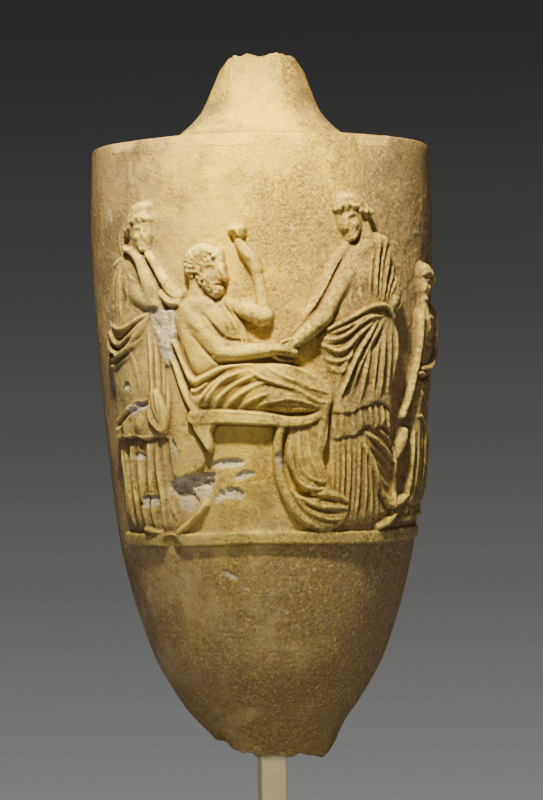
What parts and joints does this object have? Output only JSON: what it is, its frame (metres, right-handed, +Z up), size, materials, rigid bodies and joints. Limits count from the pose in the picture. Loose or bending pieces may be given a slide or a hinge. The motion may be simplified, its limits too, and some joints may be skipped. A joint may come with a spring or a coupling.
{
  "type": "marble funerary vase",
  "caption": "Broken marble grave vase with a carved frieze of standing and seated figures, held on a square painted rod with a flat foot plate.",
  "frame": {"origin": "centre of the foot plate's underside", "axes": "+Z up, the carved frieze faces -Y, +X to the viewer's right"},
  "size_m": [0.4, 0.4, 0.8714],
  "materials": {
    "marble": "weathered honey-coloured marble, matt, with brown patina and pale fresh breaks",
    "stand_paint": "matt cream paint"
  },
  "bodies": {
    "root": {"marble_vase": "marble", "support_rod": "stand_paint", "foot_plate": "stand_paint"}
  },
  "joints": []
}
